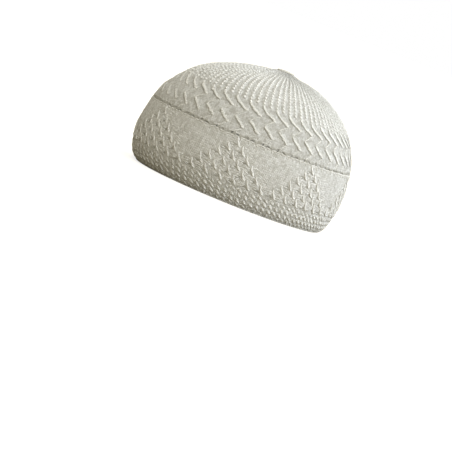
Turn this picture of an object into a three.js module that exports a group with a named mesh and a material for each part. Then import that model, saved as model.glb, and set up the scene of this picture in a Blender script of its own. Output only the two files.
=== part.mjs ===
// An openwork knitted cotton skullcap, standing on its rim, in millimetres with +Z up.
// The brow faces -Y and the wearer's left is +X. The origin is under the cap's middle, level with its rim.
import * as THREE from "three";

// Outer form
const capLength = 188.6; // brow to nape, where the cap is widest
const capWidth = 153; // side to side, at the same height
const capHeight = 118; // rim to the tip of the gather
const knitWall = 2.4; // from the ground of the knit to its inner face

// Depths, all measured up the wall
const bandDepth = 59.5; // rim to the link line that joins band and crown
const zigzagDepth = 38; // link line to the foot of the ribs
const gatherDepth = 15; // last stretch of the crown, drawn together into the tip
const linkGap = 0.3; // between the band's top and the crown's foot

// Stitch pattern
const repeats = 42; // zigzag ridges round the cap, each with one eyelet and two ribs
const eyeletWidth = 4.3;
const eyeletHeight = 3.4;
const eyeletLip = 0.3; // run of the eyelet's upright side
const ridgeRelief = 1.1; // how far a zigzag ridge stands off the ground of the knit
const ribRelief = 0.8; // the same for a rib of the crown
const browStretch = 0.15; // share by which a repeat is wider at the brow, and narrower at the nape

// Sections from the rim to the tip. Rise is a share of capHeight. Reach and drift are shares of half of
// capLength: how far the section reaches to the brow and nape from its middle, and how far that lies to the
// nape. Side is its reach to either side, as a share of half of capWidth.
const sections = [
  { rise: 0, reach: 0.88, drift: 0.012, side: 0.88 },
  { rise: 0.022, reach: 0.924, drift: 0.009, side: 0.924 },
  { rise: 0.088, reach: 0.968, drift: 0.001, side: 0.968 },
  { rise: 0.24, reach: 1, drift: 0, side: 1 },
  { rise: 0.447, reach: 0.977, drift: 0.012, side: 0.977 },
  { rise: 0.579, reach: 0.924, drift: 0.016, side: 0.924 },
  { rise: 0.703, reach: 0.826, drift: 0.032, side: 0.844 },
  { rise: 0.806, reach: 0.702, drift: 0.04, side: 0.745 },
  { rise: 0.885, reach: 0.547, drift: 0.059, side: 0.606 },
  { rise: 0.94, reach: 0.375, drift: 0.084, side: 0.431 },
  { rise: 0.969, reach: 0.212, drift: 0.095, side: 0.248 },
  { rise: 0.977, reach: 0.143, drift: 0.092, side: 0.167 },
  { rise: 0.991, reach: 0.08, drift: 0.088, side: 0.094 },
  { rise: 1, reach: 0, drift: 0.085, side: 0 },
];

// Courses of the band's two faces, as shares of bandDepth up the wall.
const bandOutside = [0, 0.05, 0.11, 0.23, 0.4, 0.62, 0.84, 1];
const bandInside = [1, 0.66, 0.3, 0.1, 0];

// Courses of the crown's zigzag. Rise is a share of zigzagDepth, lean a share of one repeat towards the
// nape on the wearer's left, and ridge a share of ridgeRelief.
const footLean = 0.35; // lean at the link line
const zigzagCourses = [
  { rise: 0.13, lean: 0.5, ridge: 0.3 },
  { rise: 0.25, lean: 0.8, ridge: 0.8 },
  { rise: 0.49, lean: 0, ridge: 1 },
  { rise: 0.68, lean: 0.55, ridge: 0.8 },
  { rise: 1, lean: -0.15, ridge: 1 },
];

// Courses of the ribs. Rise is a share of the wall from the zigzag to the gather, lean is as above, and rib
// is a share of ribRelief.
const gatherLean = -0.9; // lean where the ribs end and all through the gather
const ribCourses = [
  { rise: 0.14, lean: -0.3, rib: 1 },
  { rise: 0.36, lean: -0.52, rib: 1 },
  { rise: 0.58, lean: -0.7, rib: 1 },
  { rise: 0.8, lean: -0.84, rib: 0.9 },
  { rise: 1, lean: gatherLean, rib: 0.6 },
];

// Courses of the gather, as shares of gatherDepth, and of the crown's inner face, as shares of its depth.
const gatherCourses = [0.25, 0.65];
const crownInside = [0.87, 0.75, 0.6, 0.45, 0.3, 0.16, 0.06];

const halfLength = capLength / 2;
const halfWidth = capWidth / 2;
const lengthwise = profileCurve("reach", halfLength);
const sidewise = profileCurve("side", halfWidth);

const wallLength = lengthwise.getLength();
const crownFoot = bandDepth + linkGap;
const crownDepth = wallLength - crownFoot;
const ribFoot = crownFoot + zigzagDepth;
const gatherFoot = wallLength - gatherDepth;
const repeatWidth = (Math.PI * (capLength + capWidth)) / 2 / repeats;

// The curve of one column of the sections: x is its reach, y the drift and z the rise.
function profileCurve(column, half) {
  const points = sections.map((section) =>
    new THREE.Vector3(section[column] * half, section.drift * halfLength, section.rise * capHeight));
  const curve = new THREE.CatmullRomCurve3(points, false, "centripetal");
  curve.arcLengthDivisions = 600;
  return curve;
}

// The direction from the middle, from the brow through the wearer's left, of a place round the knit that is
// counted in repeats from the brow.
function turnOf(place) {
  const even = (2 * Math.PI * place) / repeats;
  const stretched = even + browStretch * Math.sin(even);
  return Math.atan2(capWidth * Math.sin(stretched), capLength * Math.cos(stretched));
}

// A point of the cap's outer form, where up is the way up the wall from the rim. At the tip both reaches are
// nought, and so is the radius.
function formPoint(turn, up) {
  const t = lengthwise.getUtoTmapping(THREE.MathUtils.clamp(up / wallLength, 0, 1));
  const section = lengthwise.getPoint(t);
  const reach = section.x;
  const side = sidewise.getPoint(t).x;
  const radius = (reach * side) / Math.hypot(side * Math.cos(turn), reach * Math.sin(turn)) || 0;
  return new THREE.Vector3(radius * Math.sin(turn), section.y - radius * Math.cos(turn), section.z);
}

// The same point moved off the form by lift, which is negative towards the inner face. A level point keeps
// its height, so that the rim and both sides of the link line are flat.
function knitPoint(turn, up, lift, level = false) {
  const step = 0.2;
  const turnStep = step / halfLength;
  const across = formPoint(turn + turnStep, up).sub(formPoint(turn - turnStep, up));
  const upwards = formPoint(turn, up + step).sub(formPoint(turn, up - step));
  const normal = across.cross(upwards);
  if (level) normal.z = 0;
  return formPoint(turn, up).addScaledVector(normal.normalize(), lift);
}

// A plain course: a closed ring with two points in each repeat.
function plainRing(up, lift, { level = false, lean = 0 } = {}) {
  const count = 2 * repeats;
  return Array.from({ length: count }, (_, i) => knitPoint(turnOf(i / 2 + lean), up, lift, level));
}

// The four columns of one repeat. Foot and above are their places along the repeat at the link line and
// higher up. Cut is 1 at the eyelet's peak, and ridge and rib are 1 on a zigzag ridge and on a rib.
const columns = [
  { foot: 0, above: 0, cut: 1, ridge: 1, rib: 1 },
  { foot: eyeletLip / repeatWidth, above: 0.25, cut: 0, ridge: 0, rib: 0 },
  { foot: 0.5, above: 0.5, cut: 0, ridge: 0, rib: 1 },
  { foot: 1 - eyeletWidth / repeatWidth, above: 0.75, cut: 0, ridge: 0, rib: 0 },
];

// A patterned course: make is given each column and the number of its repeat.
function patternRing(make) {
  const ring = [];
  for (let repeat = 0; repeat < repeats; repeat++) {
    for (const column of columns) ring.push(make(column, repeat));
  }
  return ring;
}

function eyeletRing(lift) {
  return patternRing((column, repeat) =>
    knitPoint(turnOf(repeat + column.foot + footLean), crownFoot + column.cut * eyeletHeight, lift, true));
}

function zigzagRing({ rise, lean, ridge }) {
  return patternRing((column, repeat) =>
    knitPoint(
      turnOf(repeat + column.above + lean),
      crownFoot + rise * zigzagDepth,
      column.ridge * ridge * ridgeRelief,
    ));
}

function ribRing({ rise, lean, rib }) {
  return patternRing((column, repeat) =>
    knitPoint(
      turnOf(repeat + column.above + lean),
      THREE.MathUtils.lerp(ribFoot, gatherFoot, rise),
      column.rib * rib * ribRelief,
    ));
}

// One strip of triangles between two rings. They may differ in their number of points, and a ring of one
// point is a pole.
function addStrip(corners, lower, upper) {
  const lowerSteps = lower.length === 1 ? 0 : lower.length;
  const upperSteps = upper.length === 1 ? 0 : upper.length;
  let i = 0;
  let j = 0;
  while (i < lowerSteps || j < upperSteps) {
    const a = lower[i % lower.length];
    const b = upper[j % upper.length];
    const lowerIsNext = j >= upperSteps || (i < lowerSteps && (i + 1) / lowerSteps <= (j + 1) / upperSteps);
    if (lowerIsNext) {
      i += 1;
      corners.push(a, lower[i % lower.length], b);
    } else {
      j += 1;
      corners.push(a, upper[j % upper.length], b);
    }
  }
}

// A closed mesh through rings that follow the outer face up, the inner face down, and so back to the first.
function knitMesh(name, rings, color) {
  const corners = [];
  rings.forEach((ring, i) => addStrip(corners, ring, rings[(i + 1) % rings.length]));
  const geometry = new THREE.BufferGeometry().setFromPoints(corners);
  geometry.computeVertexNormals();
  const material = new THREE.MeshStandardMaterial({ color, roughness: 0.95, metalness: 0 });
  const mesh = new THREE.Mesh(geometry, material);
  mesh.name = name;
  return mesh;
}

// Band: a plain tube of knit from the rim to the link line, drawn in at the rim.
function makeBand() {
  const isEdge = (share) => share === 0 || share === 1;
  return knitMesh(
    "band",
    [
      ...bandOutside.map((share) => plainRing(share * bandDepth, 0, { level: isEdge(share) })),
      ...bandInside.map((share) => plainRing(share * bandDepth, -knitWall, { level: isEdge(share) })),
    ],
    0xe6e3db,
  );
}

// Crown: a dome with the eyelets cut through its foot, the zigzag ridges, the ribs and the gathered tip.
function makeCrown() {
  const outerTip = formPoint(0, wallLength);
  const innerTip = outerTip.clone().setZ(outerTip.z - knitWall);
  return knitMesh(
    "crown",
    [
      eyeletRing(0),
      ...zigzagCourses.map(zigzagRing),
      ...ribCourses.map(ribRing),
      ...gatherCourses.map((share) => plainRing(gatherFoot + share * gatherDepth, 0, { lean: gatherLean })),
      [outerTip],
      [innerTip],
      ...crownInside.map((share) => plainRing(crownFoot + share * crownDepth, -knitWall)),
      eyeletRing(-knitWall),
    ],
    0xebe9e2,
  );
}

const cap = new THREE.Group();
cap.add(makeBand(), makeCrown());

export default cap;
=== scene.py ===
# %% [markdown]
# # A knitted skullcap
#
# The real cap is knitted in the round from one cotton yarn. A deep band carries a belt of slanted stitches
# and triangles of honeycomb bars. A row of eyelets joins it to a crown of zigzag ridges and ribs, which are
# drawn together at the tip.
#
# Knitting could be made by displacing a dome, but its stitches would stretch wherever the dome does. Here
# every piece is first laid out on a flat chart, as a knitter draws it, and then wrapped on the cap's form.

import math

import bmesh
import bpy
import numpy as np
from mathutils import Matrix, Vector


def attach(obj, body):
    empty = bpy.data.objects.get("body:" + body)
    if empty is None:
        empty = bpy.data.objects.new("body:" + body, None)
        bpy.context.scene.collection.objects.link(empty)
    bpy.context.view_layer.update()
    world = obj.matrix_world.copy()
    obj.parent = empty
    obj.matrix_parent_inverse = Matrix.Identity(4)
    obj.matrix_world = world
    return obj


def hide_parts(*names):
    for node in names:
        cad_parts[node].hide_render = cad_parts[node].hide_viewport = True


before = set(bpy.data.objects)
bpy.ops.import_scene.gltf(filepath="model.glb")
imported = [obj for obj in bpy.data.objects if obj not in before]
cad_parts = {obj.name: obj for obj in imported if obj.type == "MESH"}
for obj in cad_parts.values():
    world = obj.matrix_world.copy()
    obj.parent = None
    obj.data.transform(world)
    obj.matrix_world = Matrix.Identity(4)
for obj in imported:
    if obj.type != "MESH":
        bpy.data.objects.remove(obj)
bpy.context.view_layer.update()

# %% [markdown]
# ## The form under the knit
#
# The cap's outer form is a stack of ovals. Each row below is one oval: how high it is, how far it reaches to
# the brow and nape, how far its middle lies to the nape, and how far it reaches to the sides. A smooth curve
# through the rows gives every height between them. The rows are the ones that the solid model has, so the
# knit lies exactly where the solid is.

# %% Sections of the cap
MM = 0.001
CAP_LENGTH, CAP_WIDTH, CAP_HEIGHT = 188.6, 153.0, 118.0
WALL = 2.4  # thickness of the knit
FLOOR_GAP = 0.05  # nothing reaches lower than this above the floor
BAND_DEPTH = 59.5  # up the wall, from the rim to the link line
ZIGZAG_DEPTH = 38.0  # from the link line to the foot of the ribs
GATHER_DEPTH = 15.0  # the last stretch below the tip
REPEATS = 42  # zigzag ridges round the cap
BROW_STRETCH = 0.15  # share by which a repeat is wider at the brow
WIDEST_UP = 28.0  # up the wall, where the cap is widest

SECTIONS = np.array([  # rise, reach, drift, side
    (0, 0.88, 0.012, 0.88), (0.022, 0.924, 0.009, 0.924), (0.088, 0.968, 0.001, 0.968),
    (0.24, 1, 0, 1), (0.447, 0.977, 0.012, 0.977), (0.579, 0.924, 0.016, 0.924),
    (0.703, 0.826, 0.032, 0.844), (0.806, 0.702, 0.04, 0.745), (0.885, 0.547, 0.059, 0.606),
    (0.94, 0.375, 0.084, 0.431), (0.969, 0.212, 0.095, 0.248), (0.977, 0.143, 0.092, 0.167),
    (0.991, 0.08, 0.088, 0.094), (1, 0, 0.085, 0),
])


def curve_through(points, steps=60):
    """A centripetal Catmull-Rom curve through the points, as rows of points."""
    ends = np.vstack([2 * points[0] - points[1], points, 2 * points[-1] - points[-2]])
    along = np.linspace(0, 1, steps, endpoint=False)[:, None]
    stretches = []
    for before, a, b, after in zip(ends, ends[1:], ends[2:], ends[3:]):
        d0, d1, d2 = (np.sum((q - p) ** 2) ** 0.25 for p, q in ((before, a), (a, b), (b, after)))
        leave = ((a - before) / d0 - (b - before) / (d0 + d1) + (b - a) / d1) * d1
        arrive = ((b - a) / d1 - (after - a) / (d1 + d2) + (after - b) / d2) * d1
        stretches.append(
            a + leave * along
            + (3 * b - 3 * a - 2 * leave - arrive) * along**2
            + (2 * a - 2 * b + leave + arrive) * along**3
        )
    return np.vstack([*stretches, points[-1:]])


rise, reach, drift, side = SECTIONS.T
middle, height = drift * CAP_LENGTH / 2, rise * CAP_HEIGHT
lengthwise = curve_through(np.stack([reach * CAP_LENGTH / 2, middle, height], 1))
sidewise = curve_through(np.stack([side * CAP_WIDTH / 2, middle, height], 1))
UP = np.concatenate([[0], np.cumsum(np.linalg.norm(np.diff(lengthwise, axis=0), axis=1))])
WALL_LENGTH = UP[-1]
RIB_FOOT = BAND_DEPTH + ZIGZAG_DEPTH
GATHER_FOOT = WALL_LENGTH - GATHER_DEPTH
print("from the rim to the tip, up the wall:", round(WALL_LENGTH, 1), "mm")

# %% [markdown]
# ## From the chart to the cap
#
# A place on the knit has three numbers: its place round the cap, counted in repeats from the brow, how far up
# the wall it is, and how far it is lifted off the form, both in millimetres. These few functions turn all
# the points of a piece from the chart to the cap at once. A level point keeps its height, so that the rim
# stands flat and the link line is straight.

# %% Wrap a chart on the form
USUAL_REPEAT = 12.0  # millimetres in a repeat, near enough where its true width doesn't matter


def on_form(place, up):
    """Points of the cap's outer form, in millimetres."""
    place, up = np.broadcast_arrays(place, up)
    even = 2 * np.pi * place / REPEATS
    stretched = even + BROW_STRETCH * np.sin(even)
    turn = np.arctan2(CAP_WIDTH * np.sin(stretched), CAP_LENGTH * np.cos(stretched))
    up = np.clip(up, 0, WALL_LENGTH)
    reach, middle, height = (np.interp(up, UP, column) for column in lengthwise.T)
    side = np.interp(up, UP, sidewise[:, 0])
    across = np.hypot(side * np.cos(turn), reach * np.sin(turn))
    radius = np.divide(reach * side, across, out=np.zeros_like(across), where=across > 1e-9)
    return np.stack([radius * np.sin(turn), middle - radius * np.cos(turn), height], -1)


def normals_on_form(place, up, step=0.2):
    turn_step = step / USUAL_REPEAT
    across = on_form(place + turn_step, up) - on_form(place - turn_step, up)
    upwards = on_form(place, up + step) - on_form(place, up - step)
    normal = np.cross(across, upwards)
    normal[np.linalg.norm(normal, axis=-1) < 1e-9] = (0, 0, 1)
    return normal


def on_cap(place, up, lift, level=False):
    """Points of the knit in metres. Level says, for all or each of them, whether it keeps its height."""
    place, up, lift, level = np.broadcast_arrays(place, up, lift, level)
    normal = normals_on_form(place, up)
    normal[level, 2] = 0
    normal /= np.linalg.norm(normal, axis=-1, keepdims=True)
    return (on_form(place, up) + normal * lift[..., None]) * MM


def repeat_width(place, up):
    """Millimetres in one repeat, at that place."""
    return np.linalg.norm(on_form(place + 0.01, up) - on_form(place - 0.01, up), axis=-1) / 0.02


girth = repeat_width(np.arange(REPEATS) + 0.5, WIDEST_UP)
print("round the widest oval:", round(girth.sum(), 0), "mm, with repeats of",
      round(girth.min(), 1), "to", round(girth.max(), 1), "mm")

# %% [markdown]
# ## Meshes on the chart
#
# The two large pieces start as a flat grid. Its columns run up the cap and its rows round it. The last column
# meets the first, and the last row comes back to the first after the inner face, so that merging the doubles
# leaves one closed shell. The raised stitches start as one small rounded shape, which is copied once for each
# stitch, sized, leaned and put in its place.

# %% Read and write a mesh's points
def read_points(mesh):
    flat = np.empty(len(mesh.vertices) * 3)
    mesh.vertices.foreach_get("co", flat)
    return flat.reshape(-1, 3)


def write_points(mesh, points):
    mesh.vertices.foreach_set("co", np.ascontiguousarray(points, np.float32).ravel())
    mesh.update()


def finish_piece(name, mesh, material):
    """Shades the mesh smooth and puts it in the scene as a piece that rides with the cap."""
    mesh.shade_smooth()
    mesh.materials.append(material)
    piece = bpy.data.objects.new(name, mesh)
    bpy.context.scene.collection.objects.link(piece)
    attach(piece, "root")
    print(name, "has", sum(len(p.vertices) - 2 for p in mesh.polygons), "triangles")
    return piece


# %% Wrap a grid as a closed shell
def flat_grid(columns, rows):
    """A grid mesh, and the column and row of each of its points."""
    bm = bmesh.new()
    bm.loops.layers.uv.new("knit")
    bmesh.ops.create_grid(bm, x_segments=columns, y_segments=rows, size=1)
    mesh = bpy.data.meshes.new("grid")
    bm.to_mesh(mesh)
    bm.free()
    corner = read_points(mesh)
    column = np.rint((corner[:, 0] + 1) / 2 * columns).astype(int)
    row = np.rint((corner[:, 1] + 1) / 2 * rows).astype(int)
    return mesh, column, row


def close_shell(mesh):
    """Merges the seam and the poles of a wrapped grid, and points its faces outwards."""
    bm = bmesh.new()
    bm.from_mesh(mesh)
    bmesh.ops.remove_doubles(bm, verts=bm.verts, dist=0.01 * MM)
    loose = [edge for edge in bm.edges if not edge.link_faces]
    bmesh.ops.delete(bm, geom=loose, context="EDGES")
    if bm.calc_volume(signed=True) < 0:
        bmesh.ops.reverse_faces(bm, faces=bm.faces)
    open_edges = sum(1 for edge in bm.edges if len(edge.link_faces) != 2)
    bm.to_mesh(mesh)
    bm.free()
    print("open edges:", open_edges)


def wrap_grid(mesh, place, up, lift, level, chart, shade):
    """Wraps a grid on the cap. Chart is what its UV map holds, and shade is painted shade, standing for how
    far into the knit it lies.
    """
    corner_vertex = np.empty(len(mesh.loops), int)
    mesh.loops.foreach_get("vertex_index", corner_vertex)
    mesh.uv_layers["knit"].data.foreach_set("uv", chart[corner_vertex].astype(np.float32).ravel())
    depth_and_painted_shade = mesh.attributes.new("depth_and_painted_shade", "FLOAT", "POINT")
    depth_and_painted_shade.data.foreach_set("value", shade.astype(np.float32))
    write_points(mesh, on_cap(place, up, lift, level))
    close_shell(mesh)


# %% Copy a stitch
UNEVEN_DEGREES, UNEVEN_RISE = 60, 2  # lean and rise, in millimetres, of a stitch that differs wholly
# Painted shade: how much darker a stitch's underside is painted than its top, as it lies further into the
# knit
UNDERSIDE_SHADE = 0.4  # how much deeper in the knit a stitch's underside is than its top


def rounded_stitch(around=8, along=6, square=1.0):
    """A rounded shape one unit long, wide and tall, lying along X. A low square makes its ends fuller."""
    bm = bmesh.new()
    bm.loops.layers.uv.new("knit")
    bmesh.ops.create_uvsphere(bm, u_segments=around, v_segments=along, radius=0.5, calc_uvs=True)
    bmesh.ops.rotate(bm, verts=bm.verts, matrix=Matrix.Rotation(math.pi / 2, 3, "Y"))
    mesh = bpy.data.meshes.new("stitch")
    bm.to_mesh(mesh)
    bm.free()
    corner = read_points(mesh)
    corner[:, 0] = np.sign(corner[:, 0]) * np.abs(2 * corner[:, 0]) ** square / 2
    write_points(mesh, corner)
    return mesh


def lay_stitches(name, stitch, table, material, uneven=0.07, tone=0.3):
    """Copies the stitch to each row of the table: place, up, lift, length, width, height and lean.

    Uneven is how much the stitches differ, as neither a hand nor a machine pulls two quite alike: in their
    sizes, their lean and how far up they lie. Tone is the painted shade on their tops, standing for how far
    into the knit they lie, and their undersides get more painted shade.
    """
    table = np.array(table, float)
    chance = np.random.default_rng(len(table))
    table[:, 3:6] *= 1 + uneven * chance.standard_normal((len(table), 3))
    table[:, 6] += UNEVEN_DEGREES * uneven * chance.standard_normal(len(table))
    table[:, 1] += UNEVEN_RISE * uneven * chance.standard_normal(len(table))
    bm = bmesh.new()
    for _ in table:
        bm.from_mesh(stitch)
    mesh = bpy.data.meshes.new(name)
    bm.to_mesh(mesh)
    bm.free()
    place, up, lift, length, width, tall, lean = table.T[:, :, None]
    x, y, z = read_points(stitch).T
    lean = np.radians(lean)
    across = x * length * np.cos(lean) - y * width * np.sin(lean)
    along = x * length * np.sin(lean) + y * width * np.cos(lean)
    points = on_cap(place + across / repeat_width(place, up), up + along, lift + z * tall)
    points[..., 2] = np.maximum(points[..., 2], FLOOR_GAP * MM)
    write_points(mesh, points.reshape(-1, 3))
    # Painted shade: each stitch gets its tone, and more towards its underside
    depth_and_painted_shade = mesh.attributes.new("depth_and_painted_shade", "FLOAT", "POINT")
    one_stitch_shade = tone + UNDERSIDE_SHADE * (0.5 - z)
    depth_and_painted_shade.data.foreach_set("value", np.tile(one_stitch_shade, len(table)).astype(np.float32))
    return finish_piece(name, mesh, material)


# %% [markdown]
# ## Cotton yarn
#
# The yarn is matt, slightly warm off-white cotton. Up close it has fuzz, and from a step away its tone is a
# little uneven. Between the stitches it gets painted shade, darker and warmer, where light bounces from yarn
# to yarn. One node group makes that tone, painted shade and fuzz for all the pieces. A second draws the rows
# of fine
# V-shaped stitches, called stocking stitch, that fill the plain parts, with painted shade in their gaps. They
# are less than 2 mm wide, so they are a bump.

# %% Node helpers
def link_math(tree, operation, *values):
    """A Math node whose inputs are numbers or sockets. Returns its output."""
    node = tree.nodes.new("ShaderNodeMath")
    node.operation = operation
    for socket, value in zip(node.inputs, values):
        if isinstance(value, bpy.types.NodeSocket):
            tree.links.new(value, socket)
        else:
            socket.default_value = value
    return node.outputs[0]


def new_group(name, inputs, outputs):
    """A node group with float or vector sockets. Returns the group, its inputs and its output node."""
    group = bpy.data.node_groups.new(name, "ShaderNodeTree")
    for label, kind, value in inputs:
        socket = group.interface.new_socket(label, in_out="INPUT", socket_type=kind)
        if value is not None:
            socket.default_value = value
    for label, kind in outputs:
        group.interface.new_socket(label, in_out="OUTPUT", socket_type=kind)
    start = group.nodes.new("NodeGroupInput")
    end = group.nodes.new("NodeGroupOutput")
    return group, start.outputs, end.inputs


# %% Stocking stitch group
LEG_SLANT = 0.8  # how far a leg of a V rises from its foot, in rows


def make_stocking_stitch():
    """Rows of V-shaped stitches from a chart whose X counts repeats and whose Y is millimetres."""
    group, given, out = new_group(
        "stocking_stitch",
        [("Chart", "NodeSocketVector", None), ("Wales", "NodeSocketFloat", 8.0),
         ("Course", "NodeSocketFloat", 1.3)],
        [("Height", "NodeSocketFloat"), ("Gap_Shade", "NodeSocketFloat"), ("Chance", "NodeSocketFloat")],
    )

    def add(operation, *values):
        return link_math(group, operation, *values)

    def from_middle(share):
        """Nought in the middle of a cell and 1 at both its sides."""
        return add("MULTIPLY", add("ABSOLUTE", add("SUBTRACT", share, 0.5)), 2.0)

    split = group.nodes.new("ShaderNodeSeparateXYZ")
    group.links.new(given["Chart"], split.inputs[0])
    wales = add("MULTIPLY", split.outputs["X"], given["Wales"])
    spread = from_middle(add("FRACT", wales))
    course = add("DIVIDE", split.outputs["Y"], given["Course"])
    rows = add("SUBTRACT", course, add("MULTIPLY", spread, LEG_SLANT))
    cell = group.nodes.new("ShaderNodeCombineXYZ")
    group.links.new(add("FLOOR", wales), cell.inputs["X"])
    group.links.new(add("FLOOR", rows), cell.inputs["Y"])
    chance = group.nodes.new("ShaderNodeTexWhiteNoise")
    chance.noise_dimensions = "2D"
    group.links.new(cell.outputs["Vector"], chance.inputs["Vector"])
    group.links.new(chance.outputs["Value"], out["Chance"])
    from_row = from_middle(add("FRACT", rows))
    from_leg = from_middle(spread)  # a V has two legs, and each lies halfway out
    round_row = add("SUBTRACT", 1.0, add("POWER", from_row, 2.0))
    round_leg = add("SUBTRACT", 1.0, add("POWER", from_leg, 2.0))
    height = add("SQRT", add("MULTIPLY", round_row, round_leg))
    group.links.new(height, out["Height"])
    # Painted shade in the gaps between the stitches
    group.links.new(add("POWER", add("SUBTRACT", 1.0, height), 2.0), out["Gap_Shade"])
    return group


STOCKING_STITCH = make_stocking_stitch()


# %% Cotton group
FUZZ_SCALE, CLOUD_SCALE = 2200, 700  # noise cells in a metre
DULL_YARN, BRIGHT_YARN = (0.66, 0.655, 0.62, 1), (0.90, 0.90, 0.875, 1)
# Painted shade: the darker, warmer colour between the stitches
SHADED_YARN = (0.42, 0.405, 0.35, 1)  # between the stitches


def make_cotton():
    """The yarn's tone and its fuzz, from object coordinates. Painted shade makes it darker and warmer as
    Depth goes to 1.
    """
    group, given, out = new_group(
        "cotton",
        [("Position", "NodeSocketVector", None), ("Depth", "NodeSocketFloat", 0.0)],
        [("Color", "NodeSocketColor"), ("Fuzz", "NodeSocketFloat")],
    )
    fuzz = group.nodes.new("ShaderNodeTexNoise")
    fuzz.inputs["Scale"].default_value = FUZZ_SCALE
    fuzz.inputs["Detail"].default_value = 3
    cloud = group.nodes.new("ShaderNodeTexNoise")
    cloud.inputs["Scale"].default_value = CLOUD_SCALE
    cloud.inputs["Detail"].default_value = 2
    for noise in (fuzz, cloud):
        group.links.new(given["Position"], noise.inputs["Vector"])
    tone = group.nodes.new("ShaderNodeValToRGB")
    tone.color_ramp.elements[0].position = 0.34
    tone.color_ramp.elements[0].color = DULL_YARN
    tone.color_ramp.elements[1].position = 0.66
    tone.color_ramp.elements[1].color = BRIGHT_YARN
    group.links.new(cloud.outputs["Fac"], tone.inputs["Fac"])
    # Painted shade: mixes the yarn towards that colour
    shaded = group.nodes.new("ShaderNodeMix")
    shaded.data_type = "RGBA"
    shaded.inputs["B"].default_value = SHADED_YARN
    group.links.new(given["Depth"], shaded.inputs["Factor"])
    group.links.new(tone.outputs["Color"], shaded.inputs["A"])
    group.links.new(shaded.outputs["Result"], out["Color"])
    group.links.new(fuzz.outputs["Fac"], out["Fuzz"])
    return group


COTTON = make_cotton()
print("node groups:", [group.name for group in (STOCKING_STITCH, COTTON)])


# %% Materials of the knit
KNIT_FUZZ, YARN_FUZZ, PLY_RELIEF = 0.1, 0.12, 0.08  # heights of the bumps, in millimetres
PLIES = 3


def new_material(name):
    material = bpy.data.materials.new(name)
    material.use_nodes = True
    tree = material.node_tree
    shader = tree.nodes["Principled BSDF"]
    shader.inputs["Roughness"].default_value = 0.92
    shader.inputs["Specular IOR Level"].default_value = 0.2
    shader.inputs["Sheen Weight"].default_value = 0.12
    shader.inputs["Sheen Roughness"].default_value = 0.6
    return material, tree, shader


def knit_inputs(tree):
    """Sockets with a piece's object coordinates, its chart, and the painted shade that stands for how far
    into the knit each point lies.
    """
    coords = tree.nodes.new("ShaderNodeTexCoord")
    chart = tree.nodes.new("ShaderNodeUVMap")
    chart.uv_map = "knit"
    depth_and_painted_shade = tree.nodes.new("ShaderNodeAttribute")
    depth_and_painted_shade.attribute_name = "depth_and_painted_shade"
    return coords.outputs["Object"], chart.outputs["UV"], depth_and_painted_shade.outputs["Fac"]


def add_group(tree, group, **values):
    node = tree.nodes.new("ShaderNodeGroup")
    node.node_tree = group
    for label, value in values.items():
        if isinstance(value, bpy.types.NodeSocket):
            tree.links.new(value, node.inputs[label])
        else:
            node.inputs[label].default_value = value
    return node


def add_bump(tree, height, distance, normal=None):
    bump = tree.nodes.new("ShaderNodeBump")
    bump.inputs["Distance"].default_value = distance
    tree.links.new(height, bump.inputs["Height"])
    if normal is not None:
        tree.links.new(normal, bump.inputs["Normal"])
    return bump.outputs["Normal"]


def knit_material(name, wales, course, relief, gap_shade, uneven):
    """Fine V-shaped stitches on a shell, with the painted shade that its depth_and_painted_shade attribute
    holds.

    Wales is how many columns of stitches a repeat has, and course how many millimetres a row is high. Relief
    is the stitches' height in millimetres, gap_shade how much painted shade the gaps between the stitches
    get, and uneven how dark a stitch can be.
    """
    material, tree, shader = new_material(name)
    position, chart, depth_and_painted_shade = knit_inputs(tree)
    stitch = add_group(tree, STOCKING_STITCH, Chart=chart, Wales=wales, Course=course)
    # Painted shade in the gaps, with a random darker tone for some stitches
    dip = link_math(tree, "MULTIPLY", stitch.outputs["Chance"], uneven)
    shade = link_math(tree, "ADD", link_math(tree, "MULTIPLY", stitch.outputs["Gap_Shade"], gap_shade), dip)
    # The piece's painted shade, added to that of the gaps
    shaded = link_math(tree, "ADD", depth_and_painted_shade, shade)
    cotton = add_group(tree, COTTON, Position=position, Depth=shaded)
    normal = add_bump(tree, stitch.outputs["Height"], relief * MM)
    normal = add_bump(tree, cotton.outputs["Fuzz"], KNIT_FUZZ * MM, normal)
    tree.links.new(cotton.outputs["Color"], shader.inputs["Base Color"])
    tree.links.new(normal, shader.inputs["Normal"])
    return material


def yarn_material(name, twists):
    """A raised strand with the twist of its plies, which its own UV map follows."""
    material, tree, shader = new_material(name)
    position, chart, depth_and_painted_shade = knit_inputs(tree)
    split = tree.nodes.new("ShaderNodeSeparateXYZ")
    tree.links.new(chart, split.inputs["Vector"])
    turn = link_math(tree, "MULTIPLY", split.outputs["X"], PLIES * 2 * math.pi)
    along = link_math(tree, "MULTIPLY", split.outputs["Y"], twists * 2 * math.pi)
    ply = link_math(tree, "SINE", link_math(tree, "ADD", turn, along))
    # Painted shade from the piece's attribute darkens the yarn
    cotton = add_group(tree, COTTON, Position=position, Depth=depth_and_painted_shade)
    normal = add_bump(tree, ply, PLY_RELIEF * MM)
    normal = add_bump(tree, cotton.outputs["Fuzz"], YARN_FUZZ * MM, normal)
    tree.links.new(cotton.outputs["Color"], shader.inputs["Base Color"])
    tree.links.new(normal, shader.inputs["Normal"])
    return material


BAND_WALES = 264  # columns of stitches round the band
band_cotton = knit_material(
    "band_cotton", wales=BAND_WALES / REPEATS, course=1.8, relief=0.5, gap_shade=0.2, uneven=0.5)
crown_cotton = knit_material("crown_cotton", wales=7, course=1.9, relief=0.55, gap_shade=0.2, uneven=0.6)
raised_cotton = yarn_material("raised_cotton", twists=2.0)
print("materials:", [m.name for m in (band_cotton, crown_cotton, raised_cotton)])

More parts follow.
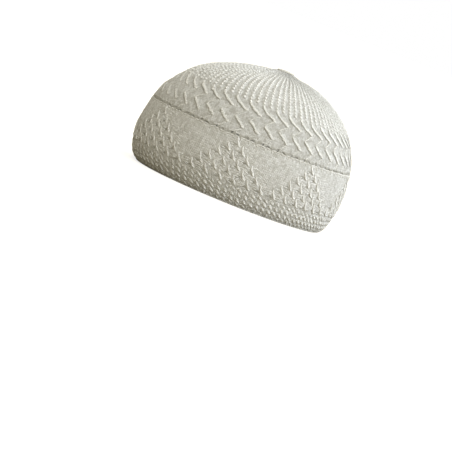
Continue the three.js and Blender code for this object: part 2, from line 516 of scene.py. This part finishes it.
# %% [markdown]
# ## The honeycomb chart
#
# Eight triangles of slanted bars stand on the belt, with their points up. The lowest row of bars runs right
# round the cap, and each row above has one bar less in every triangle and starts nearly half a bar further
# round. Each bar draws the knit together and leaves a dark pocket at its lower end. The list of bars is made
# first, because both the band's shell and the bars themselves follow it.

# %% List the bars
BARS = 48  # in the lowest row
BARS_A_TRIANGLE = 6
BAR_WIDTH = REPEATS / BARS  # in repeats
FIRST_BAR, BAR_SHIFT = 8.04, 0.45  # in bars
BAR_FOOT, BAR_RISE = 24.4, 6.1  # height of the lowest row, and from row to row

bars = []
for row in range(BARS_A_TRIANGLE):
    for triangle in range(BARS // BARS_A_TRIANGLE):
        for step in range(BARS_A_TRIANGLE - row):
            bar = FIRST_BAR + BAR_SHIFT * row + step + triangle * BARS_A_TRIANGLE
            bars.append((bar * BAR_WIDTH % REPEATS, BAR_FOOT + BAR_RISE * row))
bars = np.array(bars)
print(len(bars), "bars")

# %% [markdown]
# ## The band
#
# The band is one tube of knit. Its rows are listed once as a path: up the outer face, over the top edge, down
# the inner face and round the rolled rim. The pockets beside the bars could be cut through, but on the real
# cap they are dents in which the yarn lies deep, so they are pressed in and get painted shade. The ground of
# the belt lies a little deeper than the plain knit too, with a little painted shade. The whole band is evenly
# a little darker.

# %% Press the pockets
POCKET_TO_BROW, POCKET_BELOW = 3.2, 2.1  # from a bar's middle to its pocket's, in millimetres
POCKET_HALF_LENGTH, POCKET_HALF_HEIGHT, POCKET_LEAN = 2.8, 1.05, math.radians(4)
POCKET_EDGE = 1.3  # where its slope ends, in those halves
POCKET_RANGE = 7  # no pocket reaches farther up or down from its bar


def pocket_depth(place, up):
    """How deep the pockets are, from 0 to 1, at each point of the chart."""
    depth_and_painted_shade = np.zeros(np.shape(place))
    for bar_place, bar_up in bars:
        near = np.abs(up - bar_up) < POCKET_RANGE
        round_way = (place[near] - bar_place + REPEATS / 2) % REPEATS - REPEATS / 2
        x = round_way * USUAL_REPEAT + POCKET_TO_BROW
        y = up[near] - bar_up + POCKET_BELOW
        along = x * math.cos(POCKET_LEAN) + y * math.sin(POCKET_LEAN)
        off = y * math.cos(POCKET_LEAN) - x * math.sin(POCKET_LEAN)
        inside = np.hypot(along / POCKET_HALF_LENGTH, off / POCKET_HALF_HEIGHT)
        depth_and_painted_shade[near] = np.maximum(depth_and_painted_shade[near], np.clip(POCKET_EDGE - inside, 0, 1))
    return depth_and_painted_shade


def smooth_step(value, start, end):
    share = np.clip((value - start) / (end - start), 0, 1)
    return share * share * (3 - 2 * share)


# %% Knit the band
BAND_COLUMNS = BARS * 20
POCKET_DEPTH, BELT_DEPTH = 0.7, 0.2  # pressed in, in millimetres
BELT_FOOT, BELT_TOP = (4, 6), (18, 24)  # heights between which the ground goes down and comes up again
# Painted shade in the pockets and in the belt's ground; BAND_SHADE darkens the whole band evenly
POCKET_SHADE, BELT_SHADE, BAND_SHADE = 0.6, 0.15, 0.15


def make_band():
    outer = np.concatenate([
        np.arange(0.6, 21, 1.0),  # the belt
        np.arange(21, 58, 0.72),  # the honeycomb, whose pockets need closer rows
        [58.2, 59.0, BAND_DEPTH],
    ])
    inner = np.linspace(BAND_DEPTH, 0.8, 9)
    rim_middle = (0.0, -WALL / 2)
    before = [rim_middle, (0.1, -0.3)]
    after = [(0.1, -WALL + 0.4), rim_middle]
    path = before + [(up, 0.0) for up in outer] + [(up, -WALL) for up in inner] + after
    path_up, path_lift = np.array(path).T
    outside = np.zeros(len(path))
    outside[len(before):len(before) + len(outer)] = 1

    mesh, column, row = flat_grid(BAND_COLUMNS, len(path) - 1)
    place = column / BAND_COLUMNS * REPEATS
    up, lift, is_outside = path_up[row], path_lift[row], outside[row]
    pocket = pocket_depth(place, up) * is_outside
    belt = smooth_step(up, *BELT_FOOT) * (1 - smooth_step(up, *BELT_TOP)) * is_outside
    lift = lift - POCKET_DEPTH * pocket - BELT_DEPTH * belt
    level = (up <= 0.05) | (up >= BAND_DEPTH - 0.01)
    shade = np.clip(POCKET_SHADE * pocket + BELT_SHADE * belt + BAND_SHADE, 0, 1)
    wrap_grid(mesh, place, up, lift, level, np.stack([place, up], 1), shade)
    return finish_piece("band_knit", mesh, band_cotton)


band_knit = make_band()
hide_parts("band")

# %% [markdown]
# ## The rim
#
# The first row of the cap makes a thin rolled edge. Seen close, it is a row of small slanted loops that lie
# side by side, so one slanted stitch stands for each loop.

# %% Loop the rim
stitch = rounded_stitch()
RIM_LOOPS = 4 * BARS
RIM_LOOP = (1.4, -0.1, 3.4, 2.2, 1.7, -20)  # up, lift, length, width, height, lean
rim = [(number / RIM_LOOPS * REPEATS, *RIM_LOOP) for number in range(RIM_LOOPS)]
lay_stitches("rim_loops", stitch, rim, raised_cotton, tone=0.2)

# %% [markdown]
# ## The belt of slanted stitches
#
# Four rows of short slanted stitches lie above the rim, like grains of rice, two for each bar of the
# honeycomb. They stand in columns, and a thin stitch ties each grain to the next. They catch the light one by
# one, so each is a shape of its own.

# %% Lay the belt
BELT_ROWS = [  # up, length, width, height
    (4.7, 4.2, 2.2, 0.8), (9.1, 5.2, 2.6, 1.0), (13.6, 5.0, 2.4, 0.9), (17.8, 4.4, 2.1, 0.7),
]
BELT_START, BELT_DRIFT = 0.2, 0.02  # in bars: past the first bar, and back in each row
GRAIN_LEAN = -46
TIE_START, TIE_RISE = 0.25, 1.3  # past the grain in bars, and above it in millimetres
TIE = (-0.1, 3.0, 1.2, 0.6, 48)  # lift, length, width, height, lean
belt = []
for number, (up, *size) in enumerate(BELT_ROWS):
    for count in range(2 * BARS):
        place = (FIRST_BAR + BELT_START + count / 2 - BELT_DRIFT * number) * BAR_WIDTH % REPEATS
        belt.append((place, up, 0.0, *size, GRAIN_LEAN))
        belt.append((place + TIE_START * BAR_WIDTH, up + TIE_RISE, *TIE))
lay_stitches("rice_belt", stitch, belt, raised_cotton, uneven=0.12)

# %% [markdown]
# ## The honeycomb bars
#
# Each bar is a short ridge of stitches pulled to one side. One bent tube would look too smooth for it, so it
# is made of three stitches that overlap: a steep upper part, a lower part that turns to the nape, and a thin
# cap over its top. Thin floats of yarn cross the knit from bar to bar like the rungs of a ladder.

# %% Lay the bars and floats
bar_shape = rounded_stitch(around=10, along=8)
BAR_PARTS = [  # to the nape, up, lift, length, width, height, lean
    (-1.5, 2.1, 0.1, 4.8, 1.9, 1.0, -74),
    (0.4, -1.5, 0.1, 5.2, 2.1, 1.1, -54),
    (0.6, 3.8, 0.0, 3.8, 1.1, 0.4, -4),
]
bar_rows = [
    (place + across / USUAL_REPEAT, up + rise, *size)
    for place, up in bars for across, rise, *size in BAR_PARTS
]
lay_stitches("honeycomb_bars", bar_shape, bar_rows, raised_cotton, tone=0.25)

float_shape = rounded_stitch(around=6, along=6, square=0.8)
FLOAT_START = 0.48  # from a bar's middle to a float's, in bars
FLOAT_RISES = (-2.2, -0.9, 0.6, 1.9)
FLOAT = (-0.05, 7.0, 0.9, 0.7, -8)  # lift, length, width, height, lean
float_rows = [
    (place + FLOAT_START * BAR_WIDTH, up + rise, *FLOAT) for place, up in bars for rise in FLOAT_RISES
]
lay_stitches("honeycomb_floats", float_shape, float_rows, raised_cotton, uneven=0.2)

# %% [markdown]
# ## The crown
#
# A straight grid would cut across the slanted ridges and leave them ragged. So the crown's columns lean with
# the knit, and every ridge, rib and eyelet has columns of its own and keeps a crisp edge. Lean says how far
# the columns have moved round the cap at each height. The ridges zigzag twice, and then each runs on as a
# rib. A second rib starts halfway between.

# %% Chart the crown
def up_crown(zigzag_shares):
    """Heights at these shares of the zigzag, and then at five heights of the ribs."""
    ribs = RIB_FOOT + np.array([0.14, 0.36, 0.58, 0.8, 1]) * (GATHER_FOOT - RIB_FOOT)
    return np.concatenate([BAND_DEPTH + np.array(zigzag_shares) * ZIGZAG_DEPTH, ribs])


LEAN_UP = up_crown([0, 0.1, 0.22, 0.46, 0.64, 0.76, 0.84, 0.9, 1])
LEAN = np.array([  # in repeats, towards the nape on the wearer's left
    0.35, 0.5, 0.85, 0, 0.55, -0.08, -0.42, -0.57, -0.67, -0.8, -1.02, -1.2, -1.34, -1.4,
])
RIDGE_UP = up_crown([0, 0.1, 0.19, 0.26, 0.44, 0.5, 0.62, 0.69, 1])
RIDGE = np.array([0.1, 0.3, 0.5, 1, 1, 0.5, 0.5, 1, 1, 1, 1, 1, 0.9, 0.6])  # strength of the ridge
EYELET_WIDTH, EYELET_HEIGHT = 4.3, 3.0
SLIT_WIDTH, SLIT_HEIGHT = 3.8, 1.7
SLIT_PLACE = 0.3  # as a share of the repeat
SLIT_EDGE = 1.3  # where its slope ends, in halves of its width


def lean_at(up):
    return np.interp(up, LEAN_UP, LEAN)


def ridge_profile(share):
    """A ridge that falls away slowly on the nape side and sharply, into a groove, on the brow side."""
    nape_side = 0.5 + 0.5 * np.cos(np.pi * np.clip(share / 0.5, 0, 1))
    brow_side = np.interp(share, [0.5, 0.7, 0.82, 0.9, 1.0], [0, -0.15, -0.4, -0.1, 1.0])
    return np.where(share <= 0.5, nape_side**0.9, brow_side)


def rib_profile(share):
    """Two even ribs in each repeat."""
    return np.cos(4 * np.pi * share)


def foot_cut(share):
    """How far the crown's foot is cut up at each column: the eyelet, and a narrow slit before it."""
    width = girth.mean()
    eyelet = np.clip(1 - (1 - share) * width / EYELET_WIDTH, 0, 1) * EYELET_HEIGHT
    from_slit = np.abs(share - SLIT_PLACE) * width / (SLIT_WIDTH / 2)
    slit = np.clip(SLIT_EDGE - from_slit, 0, 1) * SLIT_HEIGHT
    return np.maximum(eyelet, slit)


print("the crown leans from", LEAN.max(), "repeats towards the nape to", -LEAN.min(), "towards the brow")


# %% Knit the crown
COLUMN_SHARES = np.array([  # places of the columns in one repeat
    0, 0.03, 0.08, 0.15, 0.22, 0.29, 0.36, 0.43, 0.5, 0.57, 0.64, 0.71, 0.78, 0.85, 0.92, 0.985,
])
CROWN_RELIEF = 0.3  # of the ground under the ridges' and ribs' stitches
CUT_REACH = 7  # the rows above an eyelet give way to it over this height
# Painted shade in the grooves, towards the tip and along the link line; the zigzag's ground is darker all
# over
GROOVE_SHADE, ZIGZAG_SHADE, TIP_SHADE, LINK_SHADE = 0.5, 0.2, 0.05, 0.5


def make_crown():
    outer = np.concatenate([
        np.arange(BAND_DEPTH, RIB_FOOT, 1.0),
        np.arange(RIB_FOOT, GATHER_FOOT, 1.3),
        np.linspace(GATHER_FOOT, WALL_LENGTH, 12),
    ])
    inner = np.linspace(WALL_LENGTH, BAND_DEPTH, 12)
    path_up = np.concatenate([outer, inner, outer[:1]])
    outside = np.concatenate([np.ones(len(outer)), np.zeros(len(inner)), [1]])

    columns = REPEATS * len(COLUMN_SHARES)
    mesh, column, row = flat_grid(columns, len(path_up) - 1)
    share = COLUMN_SHARES[column % len(COLUMN_SHARES)]
    column_place = column // len(COLUMN_SHARES) + share
    up, is_outside = path_up[row], outside[row]

    squeeze = np.clip(1 - (up - BAND_DEPTH) / CUT_REACH, 0, 1)
    up_cut = up + foot_cut(share) * squeeze
    place = column_place + lean_at(up_cut)

    strength = np.interp(up_cut, RIDGE_UP, RIDGE)
    in_ribs = smooth_step(up_cut, RIB_FOOT - 5, RIB_FOOT + 1)
    fade = 1 - smooth_step(up_cut, GATHER_FOOT - 2, WALL_LENGTH - 4)
    relief = ((1 - in_ribs) * ridge_profile(share) + in_ribs * rib_profile(share)) * CROWN_RELIEF
    lift = np.where(is_outside == 1, relief * strength * fade, -WALL)
    tip = up >= WALL_LENGTH - 1e-6
    lift[tip & (is_outside == 1)] = 0
    # Painted shade: darker towards the tip, which faces the light from above, and along the crown's foot
    # above the link line, where the eyelets lie in shade
    toward_tip = smooth_step(up_cut, RIB_FOOT + 15, GATHER_FOOT)
    at_link = 1 - smooth_step(up_cut, BAND_DEPTH + 1.2, BAND_DEPTH + 3.2)
    shade = np.clip(-relief, 0, 1) * GROOVE_SHADE * fade + ZIGZAG_SHADE * (1 - in_ribs)
    shade += TIP_SHADE * toward_tip + LINK_SHADE * at_link
    shade *= is_outside
    level = up <= BAND_DEPTH + 1e-6
    wrap_grid(mesh, place, up_cut, lift, level, np.stack([place, up_cut], 1), shade)
    return finish_piece("crown_knit", mesh, crown_cotton)


crown_knit = make_crown()
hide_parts("crown")

# %% [markdown]
# ## The link line
#
# A chain of flat stitches closes the band just below the eyelets, and shows as a thin line. From it, a short
# upright stitch runs down into the band at every half repeat. The chain is laid over the seam where the two
# shells meet, so no gap shows between them.

# %% Lay the chain
CHAIN_STITCH = (BAND_DEPTH - 0.1, 0.0, 5.2, 1.4, 0.5, -4)  # up, lift, length, width, height, lean
DOWN_STITCH = (BAND_DEPTH - 1.3, 0.0, 2.9, 1.4, 0.6, -80)
CHAIN_START, DOWN_START = 0.1, 0.05  # in repeats
chain = [(number / 3 + CHAIN_START, *CHAIN_STITCH) for number in range(3 * REPEATS)]
chain += [(number / 2 + DOWN_START, *DOWN_STITCH) for number in range(2 * REPEATS)]
lay_stitches("link_chain", stitch, chain, raised_cotton, tone=0.55)

# %% [markdown]
# ## The threads in the eyelets
#
# An open eyelet would look black, since only the cap's dark inside lies behind it. On the real cap a few
# threads cross each hole, so it reads as a netted grey triangle. They lie within the wall's thickness, three
# in each eyelet and one in each slit, and get painted shade, as the hole behind them lies in shade.

# %% Cross the eyelets
CROSSING_THREADS = [  # place, rise, length
    (0.17, 0.5, 5.4), (0.21, 1.3, 4.2), (0.25, 2.1, 2.8), (0.65, 0.6, 4.4),
]
THREAD_LIFT, THREAD_WIDTH, THREAD_HEIGHT, THREAD_LEAN = -0.6, 1.2, 0.9, 3
crossing = [
    (number + place, BAND_DEPTH + rise, THREAD_LIFT, length, THREAD_WIDTH, THREAD_HEIGHT, THREAD_LEAN)
    for number in range(REPEATS) for place, rise, length in CROSSING_THREADS
]
lay_stitches("eyelet_threads", float_shape, crossing, raised_cotton, tone=0.6)

# %% [markdown]
# ## The zigzag ridges
#
# Along the crest of each ridge the stitches lie one over the next like a rope. A tube swept along the zigzag
# would look like piping, so single stitches are laid along it. The steep strokes are strong and the flat ones
# faint, so each stroke has a row of its own in the table.

# %% Lay the ridges
def lay_path(start_up, end_up, spacing):
    """Heights along the ridge between two heights, a stitch apart."""
    width = girth.mean()
    ups = np.linspace(start_up, end_up, 200)
    steps = np.hypot(np.diff(ups), np.diff(lean_at(ups)) * width)
    length = np.concatenate([[0], np.cumsum(steps)])
    wanted = np.arange(spacing / 2, length[-1], spacing)
    return np.interp(wanted, length, ups)


STROKES = [  # from and to as shares of the zigzag, spacing, length, width, height, lean
    (0.06, 0.21, 2.2, 3.0, 1.6, 0.4, 52),
    (0.22, 0.46, 2.2, 3.3, 2.7, 0.6, -50),
    (0.47, 0.63, 2.2, 3.0, 1.6, 0.45, 46),
    (0.64, 0.90, 2.2, 3.3, 2.7, 0.6, -44),
]
ridges = []
for start, end, spacing, length, width, tall, lean in STROKES:
    for up in lay_path(BAND_DEPTH + start * ZIGZAG_DEPTH, BAND_DEPTH + end * ZIGZAG_DEPTH, spacing):
        lift = CROWN_RELIEF * np.interp(up, RIDGE_UP, RIDGE)
        ridges += [(number + lean_at(up), up, lift, length, width, tall, lean) for number in range(REPEATS)]
lay_stitches("zigzag_ridges", stitch, ridges, raised_cotton, uneven=0.14, tone=0.5)

# %% [markdown]
# ## The ribs
#
# Each rib is a column of plump stitches that lean one way, so it looks like a string of beads. They lie the
# same distance apart all the way up, as the rows of the knit do. Towards the tip the ribs crowd together, and
# their stitches get narrower and flatter with the repeat.

# %% Lay the ribs
RIB_SPACING = 3.3
RIB_STARTS = (RIB_FOOT - 3.2, RIB_FOOT - 1.0)  # of a rib that a ridge runs into, and of one between
RIB_END = GATHER_FOOT + 6
RIB_LIFT, RIB_LENGTH, RIB_HEIGHT, RIB_LEAN = 0.2, 3.1, 1.0, -62
RIB_WIDTH = 0.2  # in repeats
FULL_REPEAT = 9  # in a repeat narrower than this, the stitches are smaller


def rib_table():
    rows = []
    for rib in range(2 * REPEATS):
        ups = np.arange(RIB_STARTS[rib % 2], RIB_END, RIB_SPACING)
        place = rib / 2 + lean_at(ups)
        for spot, up, repeat in zip(place, ups, repeat_width(place, ups)):
            plump = min(1.0, repeat / FULL_REPEAT)
            rows.append((
                spot, up, RIB_LIFT * plump, RIB_LENGTH, RIB_WIDTH * repeat, RIB_HEIGHT * plump, RIB_LEAN,
            ))
    return rows


lay_stitches("rib_stitches", stitch, rib_table(), raised_cotton)

# %% [markdown]
# ## The gathered tip
#
# The last stitches are drawn together with the end of the yarn, which makes a small knob round a closed
# middle. Three rings of short upright stitches show how the fabric is gathered there.

# %% Gather the tip
TIP_RINGS = [(6.5, 26), (4.2, 18), (2.1, 10)]  # below the tip, count of stitches
TIP_STITCH = (0.1, 2.8, 1.5, 1.8, 78)  # lift, length, width, height, lean
tip = []
for ring, (below, count) in enumerate(TIP_RINGS):
    for number in range(count):
        place = (number + ring / 2) * REPEATS / count
        tip.append((place, WALL_LENGTH - below, *TIP_STITCH))
# Their tops get much painted shade, so that they don't shine white in the light from above
lay_stitches("tip_stitches", stitch, tip, raised_cotton, tone=0.8)

# %% [markdown]
# ## Floor, light and camera
#
# The cap stands on a wide white floor. One wide soft light comes from above, towards the nape, and a weaker
# and cooler one from low behind the nape. A faint warm light from all round fills the brow, which is darker
# and warmer than the nape. The camera looks at the wearer's left from a little above the rim. It is rolled,
# because the cap is seen tipped towards the nape.

# %% Floor
FLOOR_GLOW = 0.8
FLOOR_COLOR = (0.32, 0.285, 0.21, 1)  # what it throws back on the cap


def make_floor():
    """A white floor that looks as bright as the backdrop where no shadow falls on it."""
    bm = bmesh.new()
    bmesh.ops.create_grid(bm, x_segments=1, y_segments=1, size=40)
    mesh = bpy.data.meshes.new("floor")
    bm.to_mesh(mesh)
    bm.free()
    material, tree, shader = new_material("floor_white")
    shader.inputs["Base Color"].default_value = FLOOR_COLOR
    shader.inputs["Sheen Weight"].default_value = 0
    shader.inputs["Emission Color"].default_value = (1, 1, 1, 1)
    seen = tree.nodes.new("ShaderNodeLightPath")
    glow = link_math(tree, "MULTIPLY", seen.outputs["Is Camera Ray"], FLOOR_GLOW)
    tree.links.new(glow, shader.inputs["Emission Strength"])
    mesh.materials.append(material)
    floor = bpy.data.objects.new("floor", mesh)
    bpy.context.scene.collection.objects.link(floor)
    print("floor:", floor.name, "with", material.name)


make_floor()


# %% Light
def add_sun(name, towards, strength, spread, color):
    """A soft light as from far away. Towards points from the cap to the light."""
    lamp = bpy.data.lights.new(name, "SUN")
    lamp.energy = strength
    lamp.angle = math.radians(spread)
    lamp.color = color
    light = bpy.data.objects.new(name, lamp)
    light.rotation_euler = Vector(towards).to_track_quat("Z", "Y").to_euler()
    bpy.context.scene.collection.objects.link(light)
    print(name, "of strength", strength, "and", spread, "degrees across")


add_sun("key_light", (0.08, 0.44, 0.9), 5.2, 130, (0.99, 1.0, 0.98))
add_sun("nape_light", (0.0, 1.0, 0.15), 1.8, 90, (0.8, 0.98, 1.35))


def make_world():
    """White where the camera sees it, and a faint warm light for all else."""
    world = bpy.data.worlds.new("studio")
    world.use_nodes = True
    bpy.context.scene.world = world
    tree = world.node_tree
    ambient = tree.nodes["Background"]
    ambient.inputs["Color"].default_value = (1.0, 0.88, 0.62, 1)
    ambient.inputs["Strength"].default_value = 0.22
    backdrop = tree.nodes.new("ShaderNodeBackground")
    backdrop.inputs["Color"].default_value = (1, 1, 1, 1)
    backdrop.inputs["Strength"].default_value = 1.0
    seen = tree.nodes.new("ShaderNodeLightPath")
    mix = tree.nodes.new("ShaderNodeMixShader")
    tree.links.new(seen.outputs["Is Camera Ray"], mix.inputs["Fac"])
    tree.links.new(ambient.outputs["Background"], mix.inputs[1])
    tree.links.new(backdrop.outputs["Background"], mix.inputs[2])
    tree.links.new(mix.outputs["Shader"], tree.nodes["World Output"].inputs["Surface"])


make_world()
bpy.context.scene.view_settings.view_transform = "Standard"

# %% Camera
SENSOR = 36
DISTANCE = 1.81  # metres from the cap's middle
ELEVATION, ROLL = math.radians(4), math.radians(22.1)
FRAME_WIDTH = 0.3896  # metres that the picture spans at the cap's middle
AIM_AT = Vector((0, 0, 0.0474))  # this point shows at AIM_PIXEL
AIM_PIXEL = (246.5, 143.8)
PICTURE = 452  # pixels across


def make_camera():
    camera = bpy.data.cameras.new("camera")
    camera.sensor_width = SENSOR
    camera.lens = SENSOR * DISTANCE / FRAME_WIDTH
    camera.shift_x = -(AIM_PIXEL[0] - PICTURE / 2) / PICTURE
    camera.shift_y = (AIM_PIXEL[1] - PICTURE / 2) / PICTURE
    back = Vector((math.cos(ELEVATION), 0, math.sin(ELEVATION)))
    right = Vector((0, 1, 0))
    upwards = back.cross(right)
    rolled_right = right * math.cos(ROLL) + upwards * math.sin(ROLL)
    rolled_up = upwards * math.cos(ROLL) - right * math.sin(ROLL)
    turn = Matrix((rolled_right, rolled_up, back)).transposed()
    holder = bpy.data.objects.new("camera", camera)
    holder.location = AIM_AT + back * DISTANCE
    holder.rotation_euler = turn.to_euler()
    bpy.context.scene.collection.objects.link(holder)
    bpy.context.scene.camera = holder
    print("lens:", round(camera.lens, 1), "mm, from", DISTANCE, "m away")


make_camera()
